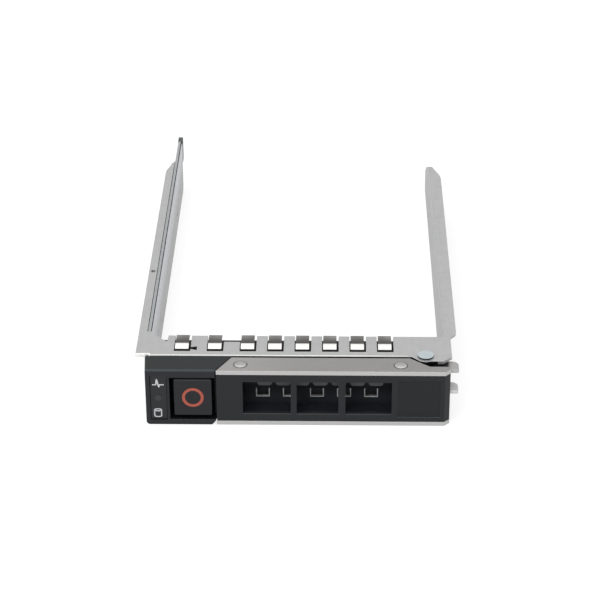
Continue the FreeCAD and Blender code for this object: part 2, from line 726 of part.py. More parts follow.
def make_coil(name, radius, wire, length, turns, place, turn):
    """A round-wire coil: a circle swept along a helix."""
    helix = doc.addObject("Part::Helix", name + "_path")
    helix.setExpression("Radius", cells(radius))
    helix.setExpression("Height", cells(f"({length}) - {wire}"))
    helix.setExpression("Pitch", cells(f"(({length}) - {wire}) / ({turns})"))
    section = doc.addObject("Part::Circle", name + "_section")
    section.setExpression("Radius", cells(f"{wire} / 2"))
    section.Placement.Rotation = FreeCAD.Rotation(FreeCAD.Vector(1, 0, 0), 90)
    section.setExpression("Placement.Base.x", cells(radius))
    doc.recompute()
    coil = doc.addObject("Part::Sweep", name)
    coil.Sections = [section]
    coil.Spine = (helix, ["Edge1"])
    coil.Solid = True
    coil.Frenet = True
    coil.Label = name
    coil.Placement.Rotation = turn
    for axis, expression in zip("xyz", place):
        coil.setExpression(f"Placement.Base.{axis}", cells(expression))
    return coil


def make_button_spring():
    front = "(button_face + 1.6 * button_wall)"
    return make_coil(
        "button_spring", "spring_radius", "spring_wire", f"pocket_rear - {front}",
        "spring_turns",
        (STEM_X, f"{front} + spring_wire / 2 - overall_length / 2", STEM_Z),
        FreeCAD.Rotation(FreeCAD.Vector(1, 0, 0), -90))


def make_pivot_spring():
    return make_coil(
        "pivot_spring", "pivot_spring_radius", "pivot_spring_wire",
        "cam_low - sheet - fit_gap", "pivot_spring_turns",
        ("pivot_x", "pivot_y - overall_length / 2", "sheet + pivot_spring_wire / 2"),
        FreeCAD.Rotation(FreeCAD.Vector(0, 0, 1), 0))


def make_pivot_pin():
    """Headed rivet, turned in one piece and closed flush in the lower plate."""
    body = new_body("pivot_pin")
    pad(body, "shank", "XY", "0", "frame_height", [("pivot_x", "pivot_y", "pin_radius")])
    pad(body, "head", "XY", "frame_height", "pin_head", [
        ("pivot_x", "pivot_y", "pin_head_radius")])
    return body


def make_pivot_spacer():
    body = new_body("pivot_spacer")
    pad(body, "sleeve", "XY", "sheet", "cam_low - sheet - close_gap", [
        ("pivot_x", "pivot_y", "spacer_radius"),
        ("pivot_x", "pivot_y", "pin_radius + running_fit")])
    return body


def handle_plan(inset):
    """Plan of the handle: sloped left end, and a step at the right for the pivot ear."""
    return [
        (f"handle_left + {inset}", "0"),
        (f"handle_right - {inset} - handle_corner", "0"),
        (f"handle_right - {inset}", "handle_corner"),
        (f"handle_right - {inset}", f"handle_step_y - {inset} / 2"),
        ("handle_step_x", f"handle_step_y - {inset} / 2"),
        ("handle_step_start", f"handle_rear - {inset}"),
        (f"handle_left_rear + {inset}", f"handle_rear - {inset}"),
    ]


def stud_circles(radius):
    return [("stud_left_x", "stud_y", radius), ("stud_right_x", "stud_y", radius)]


def make_handle_plate(name, low):
    body = new_body(name)
    pad(body, "plate", "XY", low, "handle_plate", [handle_plan("0")])
    cut(body, "stud_holes", "XY", f"{low} - 1", "handle_plate + 2",
        stud_circles("stud_radius + close_gap / 2"))
    return body


def make_handle_grille():
    """Moulded insert between the plates: a face with windows, open at the back."""
    body = new_body("handle_grille")
    low = "handle_plate"
    high = "(frame_height - handle_plate)"
    arm_low = f"({UNDER} - fit_gap - cam_sheet)"
    pad(body, "block", "XY", low, f"{high} - {low}", [handle_plan("close_gap / 2")])
    cut(body, "hollow", "XZ", "grille_wall", "handle_rear", [
        box("window_1_left - window_rim", "window_3_right + window_rim",
            "window_low - 0.75 * window_rim", f"{WINDOW_TOP} + 0.75 * window_rim")])
    cut(body, "tongue_slot", "XZ", "cam_front - tongue_reach - close_gap", "handle_rear", [
        box("stud_right_x - cam_tongue_left - close_gap", "handle_right + sheet",
            f"{arm_low} - close_gap", "frame_height")])
    cut(body, "bracket_room", "XZ", "cam_front - close_gap", "handle_rear", [
        box("handle_step_start - 2 * cam_sheet", "handle_right + sheet",
            f"{low} - sheet", "frame_height")])
    cut(body, "left_end_room", "XZ", "grille_wall", "handle_rear", [
        box("handle_left + 2 * window_rim", "window_1_left - 1.8 * window_rim",
            "window_low", WINDOW_TOP)])
    for i in range(3):
        cut(body, f"window_{i + 1}", "XZ", "-sheet", "grille_wall + 2 * sheet", [
            box(f"window_{i + 1}_left", f"window_{i + 1}_right", "window_low", WINDOW_TOP)])
    cut(body, "label_recess", "XZ", "-sheet", "sheet + label_recess", [
        box("label_left", "label_right", "label_low", "frame_height - label_high")])
    # air guides that hang behind the windows
    for i in range(RIBS):
        centre = f"rib_first_x + {i} * rib_pitch"
        foot = "(frame_height - rib_low)"
        pad(body, f"rib_{i + 1}", "XZ", "rib_front", "rib_thickness", [
            [(f"{centre} - rib_width / 2", f"{WINDOW_TOP} + window_rim"),
             (f"{centre} - rib_width / 2", f"{foot} + rib_bevel"),
             (f"{centre} - rib_width / 2 + rib_bevel", foot),
             (f"{centre} + rib_width / 2 - rib_bevel", foot),
             (f"{centre} + rib_width / 2", f"{foot} + rib_bevel"),
             (f"{centre} + rib_width / 2", f"{WINDOW_TOP} + window_rim")]])
    for name, left, right in (("post_1", "window_1_right", "window_2_left"),
                              ("post_2", "window_2_right", "window_3_left")):
        pad(body, name, "XY", "window_low - sheet", f"{WINDOW_TOP} - window_low + 2 * sheet", [
            box(left, right, "grille_wall / 2", "handle_rear - grille_wall")])
    # catch arm with its barb, behind the left end
    catch_right = "(catch_left + catch_thickness)"
    pad(body, "catch", "XY", f"{STEM_Z} - catch_height / 2", "catch_height", [
        [("catch_left", "handle_rear - 2 * catch_thickness"),
         (catch_right, "handle_rear - 2 * catch_thickness"),
         (catch_right, "catch_rear"), ("catch_left - barb / 7", "catch_rear"),
         ("catch_left - barb", "catch_rear - 0.9 * barb"),
         ("catch_left - barb", "catch_rear - 1.4 * barb"),
         ("catch_left", "catch_rear - 1.4 * barb")]])
    for i, x in enumerate(("stud_left_x", "stud_right_x")):
        cut(body, f"stud_bores_{i + 1}", "XY", "handle_plate - sheet", "frame_height", [
            (x, "stud_y", "stud_neck + close_gap / 2")])
    return body


def make_handle_studs():
    """Rivets that hold the two plates to the insert, each with a flat head."""
    body = new_body("handle_studs")
    reach = "(handle_plate + stud_reach)"
    for i, x in enumerate(("stud_left_x", "stud_right_x")):
        pad(body, f"lower_{i + 1}", "XY", "0", reach, [(x, "stud_y", "stud_neck")])
        pad(body, f"lower_head_{i + 1}", "XY", "0", "handle_plate", [(x, "stud_y", "stud_radius")])
        pad(body, f"upper_{i + 1}", "XY", f"frame_height - {reach}", reach, [
            (x, "stud_y", "stud_neck")])
        pad(body, f"upper_head_{i + 1}", "XY", "frame_height - handle_plate",
            "handle_plate + close_gap / 2", [(x, "stud_y", "stud_radius")])
    return body


def make_handle_studs():
    """Rivets that hold the two plates to the insert, each with a flat head."""
    body = new_body("handle_studs")
    for i, x in enumerate(("stud_left_x", "stud_right_x")):
        reach = "handle_plate + 1.5"
        pad(body, f"lower_{i + 1}", "XY", "0", reach, [(x, "stud_y", "stud_radius - 0.7")])
        pad(body, f"lower_head_{i + 1}", "XY", "0", "handle_plate", [(x, "stud_y", "stud_radius")])
        pad(body, f"upper_{i + 1}", "XY", f"frame_height - ({reach})", reach, [
            (x, "stud_y", "stud_radius - 0.7")])
        pad(body, f"upper_head_{i + 1}", "XY", "frame_height - handle_plate",
            "handle_plate + 0.05", [(x, "stud_y", "stud_radius")])
    return body


def cam_plan():
    """Arm of the cam bracket: round the pivot, and out to the hook at the right."""
    return [
        ("pivot_x - cam_disc", "cam_front"), ("flange_outer", "cam_front"),
        ("flange_outer", "cam_rear"), ("pivot_x + 0.97 * cam_disc", "cam_rear"),
        ("pivot_x + 0.87 * cam_disc", "pivot_y + 0.5 * cam_disc"),
        ("pivot_x + 0.5 * cam_disc", "pivot_y + 0.87 * cam_disc"),
        ("pivot_x", "pivot_y + cam_disc"),
        ("pivot_x - 0.5 * cam_disc", "pivot_y + 0.87 * cam_disc"),
        ("pivot_x - 0.87 * cam_disc", "pivot_y + 0.5 * cam_disc"),
        ("pivot_x - cam_disc", "pivot_y"),
    ]


def make_cam_bracket():
    """Folded steel bracket: two arms with a hook each, joined by a web at the front."""
    body = new_body("cam_bracket")
    top = f"({UNDER} - fit_gap)"
    hole = ("pivot_x", "pivot_y", "pin_radius + running_fit")
    pad(body, "upper_arm", "XY", f"{top} - cam_sheet", "cam_sheet", [cam_plan(), hole])
    pad(body, "lower_arm", "XY", "cam_low", "cam_sheet", [cam_plan(), hole])
    pad(body, "web", "XZ", "cam_front", "cam_sheet", [
        box("pivot_x - cam_disc", "handle_right - 1.5 * cam_sheet", "cam_low + cam_sheet / 2",
            f"{top} - cam_sheet / 2")])
    pad(body, "tongue", "XY", f"{top} - cam_sheet", "cam_sheet", [
        box("stud_right_x - cam_tongue_left", "pivot_x - cam_disc + cam_sheet",
            "cam_front - tongue_reach", "handle_rear - tongue_reach")])
    cut(body, "stud_hole", "XY", f"{top} - 1.5 * cam_sheet", "2 * cam_sheet", [
        ("stud_right_x", "stud_y", "stud_neck + close_gap / 2")])
    hook_reach = "flange_outer - pivot_x - cam_disc"
    round_edges(body, "hook_corners", f"min(cam_hook_corner; 0.9 * ({hook_reach}))", 2, [
        ("flange_outer", "cam_rear"), ("flange_outer", "cam_rear")])
    return body


def main():
    parts = [
        make_carrier_frame(),
        make_emi_spring_strip(),
        make_vent_duct(),
        make_bezel_housing(),
        make_indicator_window(),
        make_light_pipe_upper(),
        make_light_pipe_lower(),
        make_light_pipe_cover(),
        make_light_pipe_ferrule(),
        make_bezel_screws(),
        make_pivot_pin(),
        make_pivot_spacer(),
        make_pivot_spring(),
        make_button_spring(),
        make_release_button(),
        make_latch_pawl(),
        make_handle_plate("handle_top_plate", "frame_height - handle_plate"),
        make_handle_plate("handle_bottom_plate", "0"),
        make_handle_grille(),
        make_handle_studs(),
        make_cam_bracket(),
    ]
    doc.recompute()
    for thing in doc.Objects:
        if "Invalid" in thing.State or "Error" in thing.State:
            raise RuntimeError(f"{thing.Name} did not build: {thing.State}")
    os.makedirs("parts", exist_ok=True)
    for part in parts:
        if part.Shape.isNull() or not part.Shape.isValid():
            raise RuntimeError(f"{part.Label} has no valid shape")
        part.Shape.exportStep(f"parts/{part.Label}.step")
        bounds = part.Shape.BoundBox
        print(f"{part.Label:20s} solids {len(part.Shape.Solids)}  volume {part.Shape.Volume:9.2f}"
              f"  x {bounds.XMin:7.2f} {bounds.XMax:7.2f}  y {bounds.YMin:7.2f} {bounds.YMax:7.2f}"
              f"  z {bounds.ZMin:6.2f} {bounds.ZMax:6.2f}")


main()
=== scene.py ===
import math

import bmesh
import bpy
from mathutils import Matrix, Vector


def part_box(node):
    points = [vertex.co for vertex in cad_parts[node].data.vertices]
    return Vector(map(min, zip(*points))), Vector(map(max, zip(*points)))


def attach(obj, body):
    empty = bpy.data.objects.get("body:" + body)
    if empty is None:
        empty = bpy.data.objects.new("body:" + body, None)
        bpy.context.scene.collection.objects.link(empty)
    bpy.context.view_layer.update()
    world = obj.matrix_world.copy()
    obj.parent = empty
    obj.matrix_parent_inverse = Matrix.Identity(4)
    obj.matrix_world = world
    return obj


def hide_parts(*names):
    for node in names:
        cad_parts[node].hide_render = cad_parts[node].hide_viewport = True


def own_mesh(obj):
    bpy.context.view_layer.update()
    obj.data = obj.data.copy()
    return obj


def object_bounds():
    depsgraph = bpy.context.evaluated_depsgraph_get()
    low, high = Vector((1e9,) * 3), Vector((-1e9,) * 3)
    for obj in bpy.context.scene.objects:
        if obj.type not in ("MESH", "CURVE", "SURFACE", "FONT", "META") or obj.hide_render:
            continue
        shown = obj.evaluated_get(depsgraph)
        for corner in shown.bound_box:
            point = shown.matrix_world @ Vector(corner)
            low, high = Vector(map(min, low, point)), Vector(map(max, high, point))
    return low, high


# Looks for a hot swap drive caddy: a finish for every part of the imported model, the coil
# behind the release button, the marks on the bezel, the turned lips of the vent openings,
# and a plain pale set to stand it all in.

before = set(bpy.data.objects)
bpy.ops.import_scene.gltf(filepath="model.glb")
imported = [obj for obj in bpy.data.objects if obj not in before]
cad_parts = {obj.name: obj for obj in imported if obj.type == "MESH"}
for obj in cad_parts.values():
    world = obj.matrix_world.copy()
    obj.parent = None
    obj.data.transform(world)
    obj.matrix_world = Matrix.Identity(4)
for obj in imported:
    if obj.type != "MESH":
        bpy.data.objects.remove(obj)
cad_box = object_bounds()
MM = 0.001

# Places on the caddy in millimetres, with x to the right, y to the back and z up.
CADDY_FRONT = cad_box[0].y / MM
PLATE_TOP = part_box("carrier_frame")[1].z / MM
NEAR_TOP = PLATE_TOP - 0.3          # in the thickness of the top plate
PLATE_UNDER = PLATE_TOP - 0.85      # just below it
MIDDLE_HEIGHT = PLATE_TOP / 2
PLATE_FRONT = CADDY_FRONT + 7.05
PLATE_LAND = CADDY_FRONT + 9.05     # between the plate's front edge and its openings
PLATE_REAR = CADDY_FRONT + 17       # just behind it
PLATE_CORNER = -34.9                # its left front corner is left of this
WALL_FACE = 35.15
LOCATING_HOLE = (-37.35, CADDY_FRONT + 49.7, PLATE_TOP)
VENT_FACE = CADDY_FRONT + 8.2
VENTS, VENT_FIRST_X, VENT_PITCH = 5, -8.15, 6.5
RIB_FACE = CADDY_FRONT + 3.2
STUD_X, STUD_Y, STUD_RADIUS = (-13.2, 24.65), CADDY_FRONT + 3.05, 1.6


# ---------------------------------------------------------------- finishes: the tools

def paint(red, green, blue):
    """A colour as it looks on a colour card, 0 to 255 a channel, made linear."""
    def linear(level):
        level /= 255
        return level / 12.92 if level <= 0.04045 else ((level + 0.055) / 1.055) ** 2.4
    return (linear(red), linear(green), linear(blue), 1.0)


WHITE = (1.0, 1.0, 1.0, 1.0)
# colour of edges that are lighter partly from wear and partly as a painted highlight
WEAR_AND_HIGHLIGHT_EDGE = paint(78, 82, 86)
BEZEL_EDGE = paint(78, 88, 94)


class Flow:
    """One value, colour, direction or shader on its way through a node tree."""

    def __init__(self, nodes, socket):
        self.nodes = nodes
        self.socket = socket

    def _with(self, operation, first, second=0.0):
        return self.nodes.node("ShaderNodeMath", {"operation": operation},
                               {0: first, 1: second})

    def __add__(self, other):
        return self._with("ADD", self, other)

    def __radd__(self, other):
        return self._with("ADD", other, self)

    def __sub__(self, other):
        return self._with("SUBTRACT", self, other)

    def __rsub__(self, other):
        return self._with("SUBTRACT", other, self)

    def __mul__(self, other):
        return self._with("MULTIPLY", self, other)

    def __lt__(self, level):
        return self._with("LESS_THAN", self, level)

    def __gt__(self, level):
        return self._with("GREATER_THAN", self, level)

    def __abs__(self):
        return self._with("ABSOLUTE", self)

    def sine(self):
        return self._with("SINE", self)

    def or_more(self, other):
        """The larger of the two."""
        return self._with("MAXIMUM", self, other)

    def near(self, middle, reach):
        """1 within reach of the middle, and 0 beyond it."""
        return abs(self - middle) < reach

    def rising(self, low, high):
        """0 up to low, 1 from high, and a soft step between."""
        return self.nodes.node("ShaderNodeMapRange", {"interpolation_type": "SMOOTHSTEP"},
                               {"Value": self, "From Min": low, "From Max": high})


class Nodes:
    """The node tree of a material or a world, cleared and ready to build up."""

    def __init__(self, owner):
        owner.use_nodes = True
        self.tree = owner.node_tree
        self.tree.nodes.clear()

    def node(self, kind, settings=None, sockets=None, out=0):
        """Add a node: its settings first, then a value or a link for each socket."""
        made = self.tree.nodes.new(kind)
        for name, setting in (settings or {}).items():
            setattr(made, name, setting)
        for key, source in (sockets or {}).items():
            self.feed(made.inputs[key], source)
        return Flow(self, made.outputs[out])

    def feed(self, socket, source):
        if isinstance(source, Flow):
            self.tree.links.new(source.socket, socket)
        else:
            socket.default_value = source

    def is_looked_at(self):
        """1 for rays from the camera, off gloss and through glass, and 0 for lighting."""
        from_camera, off_gloss, through_glass = (
            self.node("ShaderNodeLightPath", out=f"Is {ray} Ray")
            for ray in ("Camera", "Glossy", "Transmission"))
        return from_camera.or_more(off_gloss).or_more(through_glass)

    def show(self, kind, shader):
        """End the tree in its output node."""
        output = self.tree.nodes.new(kind)
        self.feed(output.inputs["Surface"], shader)

    def show_apart(self, kind, lighting, seen):
        """End the tree in one shader that lights the caddy and another that is seen."""
        self.show(kind, self.node("ShaderNodeMixShader", sockets={
            0: self.is_looked_at(), 1: lighting, 2: seen}))


class Finish(Nodes):
    """A surface finish: a Principled shader and the nodes that feed it.

    x, y and z say where a point is on the caddy, in millimetres, and across, back and up
    say which way the surface faces there.
    """

    def __init__(self, name, **constants):
        self.material = bpy.data.materials.new(name)
        super().__init__(self.material)
        shader = self.node("ShaderNodeBsdfPrincipled")
        self.show("ShaderNodeOutputMaterial", shader)
        self.inputs = shader.socket.node.inputs
        self.give(**constants)
        self.colour = WHITE
        place = self.node("ShaderNodeTexCoord", out="Object")
        self.spot = self.node("ShaderNodeVectorMath", {"operation": "SCALE"},
                              {0: place, "Scale": 1 / MM})
        self.x, self.y, self.z = self.parts_of(self.spot)
        self.facing = self.node("ShaderNodeNewGeometry", out="True Normal")
        self.across, self.back, self.up = self.parts_of(self.facing)

    def give(self, **values):
        """Set or feed the shader's inputs: base_color, roughness and the like."""
        for name, source in values.items():
            label = name.replace("_", " ").title().replace("Ior", "IOR")
            self.feed(self.inputs[label], source)

    def parts_of(self, direction):
        split = self.node("ShaderNodeSeparateXYZ", sockets={0: direction}).socket.node
        return [Flow(self, split.outputs[i]) for i in range(3)]

    def noise(self, scale, detail, rough=0.55, stretch=None):
        """Soft mottling. A stretch under 1 along an axis draws it out that way."""
        spot = self.spot
        if stretch:
            spot = self.node("ShaderNodeMapping", sockets={"Vector": spot, "Scale": stretch})
        return self.node("ShaderNodeTexNoise", sockets={
            "Vector": spot, "Scale": scale, "Detail": detail, "Roughness": rough})

    def crystals(self, scale):
        """Small flat patches with straight sides, each of its own brightness."""
        cell = self.node("ShaderNodeTexVoronoi",
                         sockets={"Vector": self.spot, "Scale": scale}, out="Color")
        return self.node("ShaderNodeSeparateColor", sockets={0: cell})

    def distance(self, spot, centre):
        return self.node("ShaderNodeVectorMath", {"operation": "DISTANCE"},
                         {0: spot, 1: centre}, "Value")

    def from_axis(self, centre):
        """Distance from an upright axis through the centre."""
        level = self.node("ShaderNodeCombineXYZ", sockets={0: self.x, 1: self.y, 2: 0.0})
        return self.distance(level, (*centre, 0.0))

    def ring(self, centre, radius, inner, outer):
        """1 on a ring round an upright axis, fading from inner to outer either side."""
        return 1 - abs(self.from_axis(centre) - radius).rising(inner, outer)

    def rounded(self, radius):
        return self.node("ShaderNodeBevel", {"samples": 6}, {"Radius": radius * MM})

    def edges(self, radius):
        """1 along the edges of the part, fading over the radius, and 0 on its faces."""
        turned = self.node("ShaderNodeVectorMath", {"operation": "DOT_PRODUCT"},
                           {0: self.rounded(radius), 1: self.facing}, "Value")
        return (1 - turned).rising(0.02, 0.25)

    def blend(self, share, under, over):
        return self.node("ShaderNodeMix", {"data_type": "RGBA"},
                         {0: share, 6: under, 7: over}, 2)

    def mottle(self, share, dark, light):
        """Start the colour, somewhere between dark and light."""
        self.colour = self.blend(share, dark, light)

    def over(self, share, colour):
        """Lay a colour over the finish: a share of 0 leaves it, and 1 hides it."""
        self.colour = self.blend(share, self.colour, colour)

    def bump(self, height, depth, radius=None):
        """Relief of a depth in millimetres, over edges that are rounded by the radius."""
        sockets = {"Strength": 1.0, "Distance": depth * MM, "Height": height}
        if radius:
            sockets["Normal"] = self.rounded(radius)
        self.give(normal=self.node("ShaderNodeBump", sockets=sockets))

    def finished(self, **values):
        self.give(base_color=self.colour, **values)
        return self.material


# ---------------------------------------------------------------- finishes: the sheet metal

def shade_the_walls_and_light_the_fold(sheet):
    """Painted shade on the inner faces of the rails, and a painted highlight along the right
    fold.
    """
    rails_from = 30
    inside = (sheet.across < -0.5) * (sheet.x > rails_from)
    inside = inside + (sheet.across > 0.5) * (sheet.x < -rails_from)
    # painted shade on the inner faces of the rails
    sheet.over(inside * 0.44, paint(126, 128, 127))
    fold = sheet.x.near(WALL_FACE, 0.16) * (sheet.z > NEAR_TOP) * (sheet.y > PLATE_REAR)
    # painted highlight along the top of the right fold
    sheet.over(fold, paint(208, 210, 209))


def light_and_shade_the_plate_edge(sheet):
    """Painted shade on the face under the plate's front edge and on the walls of its openings,
    and a painted highlight along the edge. What comes back is 1 on the highlight."""
    behind = sheet.y - PLATE_FRONT
    in_plate = (sheet.z > PLATE_UNDER) * (sheet.up < 0.5)
    # painted shade on the face under the plate's front edge
    edge_face_shade = in_plate * (sheet.back < -0.3) * (sheet.y < PLATE_LAND) * sheet.x.near(1, 32.5)
    edge_face_shade = edge_face_shade * (1 - sheet.z.rising(PLATE_TOP - 0.12, PLATE_TOP - 0.02))
    sheet.over(edge_face_shade, paint(24, 25, 25))

    # painted highlight: a bright line set back along the plate's front edge, and along its left
    # front corner
    on_plate = (sheet.z > NEAR_TOP) * (sheet.up > 0.5)
    roll = on_plate * sheet.x.near(-4.3, 30.6) * behind.rising(0.05, 0.25)
    roll = roll * (1 - behind.rising(0.4, 0.62)) * (1 - sheet.x.rising(14, 26) * 0.5)
    corner = (sheet.x < PLATE_CORNER) * (sheet.z > PLATE_UNDER)
    corner = corner * (1 - behind.rising(1.0, 1.2)) * (1 - roll)
    sheet.over(roll + corner, paint(252, 252, 251))

    # painted shade on the walls of the plate's openings
    opening_shade = in_plate * (sheet.back < 0.5) * (sheet.y > PLATE_LAND)
    opening_shade = opening_shade * (sheet.y < PLATE_REAR + 2) * sheet.x.near(0, 33)
    sheet.over(opening_shade, paint(58, 60, 60))
    return roll


def shade_the_vent_wall(sheet):
    """Painted shade on the wall behind the grille: dark, and paler towards its foot."""
    wall = (sheet.back < -0.5) * sheet.y.near(VENT_FACE, 0.2) * sheet.z.near(MIDDLE_HEIGHT, 6.6)
    vent_wall_shade = sheet.blend(sheet.z.rising(2.4, 6.0), paint(62, 66, 72), paint(30, 33, 36))
    sheet.over(wall, vent_wall_shade)


def zinc_coated_sheet():
    """Matt zinc-coated steel: faint crystals, rolling streaks, and a painted highlight on the
    sheared edges.
    """
    sheet = Finish("zinc_coated_sheet")
    crystals = sheet.crystals(0.55)
    fine = sheet.noise(1.9, 5)
    streaks = sheet.noise(1.4, 4, stretch=(1.0, 0.08, 1.0))
    cloudy = 0.5 + (crystals - 0.5) * 0.12 + (fine - 0.5) * 0.36 + (streaks - 0.5) * 0.3
    sheet.mottle(cloudy, paint(165, 166, 165), paint(195, 196, 195))
    # painted highlight along every edge of the sheet
    sheet.over(sheet.edges(0.14) * 0.6, paint(230, 232, 231))
    shade_the_walls_and_light_the_fold(sheet)
    roll = light_and_shade_the_plate_edge(sheet)
    grease = 1 - sheet.distance(sheet.spot, LOCATING_HOLE).rising(0.3, 1.0)
    sheet.over(grease * (0.3 + fine * 0.8), paint(96, 99, 98))
    shade_the_vent_wall(sheet)
    sheet.bump(fine * 0.5 + streaks * 0.3 + crystals * 0.2, 0.012, 0.1)
    # the painted highlight along the plate's edge is made less metallic as well
    return sheet.finished(metallic=0.6 - roll * 0.5,
                          roughness=0.4 + fine * 0.12 - crystals * 0.06)


def spring_finger_steel():
    """Bright spring strip, with painted shade on the fingers' rear slopes from their crest, a
    painted highlight on its edges and painted shade on the fingers' feet.
    """
    low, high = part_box("emi_spring_strip")
    crest_at = 0.37
    crest = (low.y + crest_at * (high.y - low.y)) / MM
    strip = Finish("spring_finger_steel", metallic=0.95)
    grain = strip.noise(5.0, 4, stretch=(1.0, 0.15, 1.0))
    finger = strip.noise(0.16, 1, stretch=(1.0, 0.0, 0.0))
    strip.mottle(grain, paint(236, 235, 231), paint(246, 245, 242))
    # painted shade on the fingers' rear slopes, darkest just behind the crest and a little
    # different on each finger
    rear = strip.blend(finger.rising(0.35, 0.65), paint(104, 100, 97), paint(142, 140, 137))
    rear_slope_shade = strip.blend(strip.y.rising(crest + 0.6, crest + 4.7), paint(36, 34, 33), rear)
    strip.over(strip.y.rising(crest - 0.15, crest + 0.25) * 0.96, rear_slope_shade)
    # painted highlight along the edges
    strip.over(strip.edges(0.08) * 0.4, paint(240, 240, 238))
    # painted shade on the feet of the fingers, down in the plate's openings
    foot = 1 - strip.z.rising(PLATE_TOP + 0.06, PLATE_TOP + 0.16)
    strip.over(foot * (1 - strip.y.rising(crest - 1.9, crest - 1.5)), paint(20, 20, 20))
    strip.bump(grain, 0.003, 0.06)
    return strip.finished(roughness=0.24 + grain * 0.1)


def cover_strip():
    """Thin bright strip that closes the channel of the light guides, with painted shade towards
    its foot and a painted highlight on its edges.
    """
    foot, half_way = 9.4, 12.2
    cover = Finish("cover_strip", metallic=0.35)
    lines = cover.noise(3.0, 4, stretch=(1.0, 0.05, 1.0))
    mottled = cover.noise(1.1, 4)
    cover.mottle(lines * 0.5 + mottled * 0.5, paint(186, 188, 192), paint(216, 217, 221))
    # painted shade towards the foot of the strip
    cover.over((1 - cover.z.rising(foot, half_way)) * 0.6, paint(166, 168, 170))
    # painted highlight along the edges
    cover.over(cover.edges(0.1) * 0.6, paint(236, 236, 239))
    cover.bump(lines, 0.01, 0.08)
    return cover.finished(roughness=0.34 + mottled * 0.14)


# ---------------------------------------------------------------- finishes: handle, pins, springs

def satin_handle_steel():
    """Warm satin steel, brushed along the handle, with a painted sheen towards its left end and
    painted highlights on the faces that do not face up and on the blanked edges.
    """
    left, middle = -18, 3
    steel = Finish("satin_handle_steel", metallic=0.6)
    brushed = steel.noise(6.0, 5, 0.65, stretch=(0.035, 1.0, 1.0))
    cloudy = steel.noise(0.3, 3)
    steel.mottle(brushed * 0.7 + cloudy * 0.3, paint(131, 129, 128), paint(161, 159, 157))
    # painted sheen, lighter towards the left end of the handle
    steel.over((1 - steel.x.rising(left, middle)) * 0.2, paint(206, 203, 201))
    # painted highlight on the front and the other faces that do not face up
    steel.over(1 - steel.up.rising(0.2, 0.6), paint(193, 192, 192))
    for stud_x in STUD_X:
        seam = steel.ring((stud_x, STUD_Y), STUD_RADIUS, inner=0.04, outer=0.16)
        steel.over(seam * 0.9, paint(44, 42, 41))
    # painted highlight along the edges
    steel.over(steel.edges(0.13) * 0.7, paint(234, 233, 231))
    steel.bump(brushed, 0.012, 0.12)
    return steel.finished(roughness=0.34 + brushed * 0.16)


def stud_steel():
    """Riveted ends of the handle's studs, with a painted highlight at the front, in a dark ring.
    Painted shade darkens what is inside the handle."""
    stud = Finish("stud_steel", metallic=0.6)
    mottled = stud.noise(1.4, 4)
    stud.mottle(mottled, paint(148, 146, 144), paint(180, 178, 176))
    # painted highlight towards the front of each stud
    stud.over((STUD_Y - stud.y).rising(-0.3, 1.2) * 0.6, paint(232, 230, 228))
    for stud_x in STUD_X:
        rim = stud.ring((stud_x, STUD_Y), STUD_RADIUS, inner=0.1, outer=0.24)
        stud.over(rim * 0.8, paint(60, 58, 57))
    # painted shade on what is inside the handle, between its plates
    stud.over(stud.z.near(MIDDLE_HEIGHT, 6.4), paint(22, 24, 27))
    stud.bump(mottled, 0.01, 0.12)
    return stud.finished(roughness=0.32 + mottled * 0.16)


def cam_plating():
    """Dull plated steel of the cam hooks, with painted highlights on its sides, its edges and its
    lower arm, and painted shade where the arms pass the pivot.
    """
    between_arms, shade_until, shade_gone_by = 10, 35.7, 36.5
    cam = Finish("cam_plating", metallic=0.6)
    mottled = cam.noise(1.4, 4)
    drawn = cam.noise(2.4, 3, stretch=(1.0, 1.0, 0.1))
    cam.mottle(mottled * 0.6 + drawn * 0.4, paint(152, 151, 150), paint(184, 183, 182))
    # painted highlight on the faces that do not face up
    cam.over((1 - cam.up.rising(0.3, 0.7)) * 0.5, paint(206, 205, 206))
    # painted highlight along the edges
    cam.over(cam.edges(0.2) * 0.5, paint(228, 228, 227))
    # painted highlight on the lower arm
    cam.over((cam.z < between_arms) * 0.5, paint(240, 239, 240))
    # painted shade on the arms where they pass the pivot
    cam.over(1 - cam.x.rising(shade_until, shade_gone_by), paint(24, 25, 27))
    cam.bump(mottled * 0.6 + drawn * 0.4, 0.012, 0.16)
    return cam.finished(roughness=0.34 + mottled * 0.16)


def plated(name, dark, light, centre, pitch, side=0.0, metal=0.7):
    """Plated steel turned on a lathe: fine rings round the centre of a head, a painted highlight
    on its edges, and painted shade on its sides by a share."""
    plate = Finish(name, metallic=metal)
    turned = (plate.from_axis(centre) * (math.tau / pitch)).sine()
    mottled = plate.noise(1.4, 4)
    plate.mottle(mottled * 0.8 + turned * 0.1, dark, light)
    # painted highlight along the edges
    plate.over(plate.edges(0.16) * 0.5, paint(236, 240, 242))
    # painted shade on the sides, by the share
    plate.over((1 - abs(plate.up).rising(0.4, 0.8)) * side, paint(44, 48, 50))
    plate.bump(turned * 0.3 + mottled, 0.008, 0.14)
    return plate.finished(roughness=0.28 + mottled * 0.16)


def spring_wire():
    """Drawn music wire, with fine lines round its turns."""
    wire = Finish("spring_wire", metallic=0.95)
    lines = wire.noise(3.0, 4, stretch=(0.6, 4.0, 4.0))
    wire.mottle(lines, paint(150, 148, 144), paint(208, 206, 202))
    wire.bump(lines, 0.008)
    return wire.finished(roughness=0.22 + lines * 0.2)


# ---------------------------------------------------------------- finishes: the mouldings

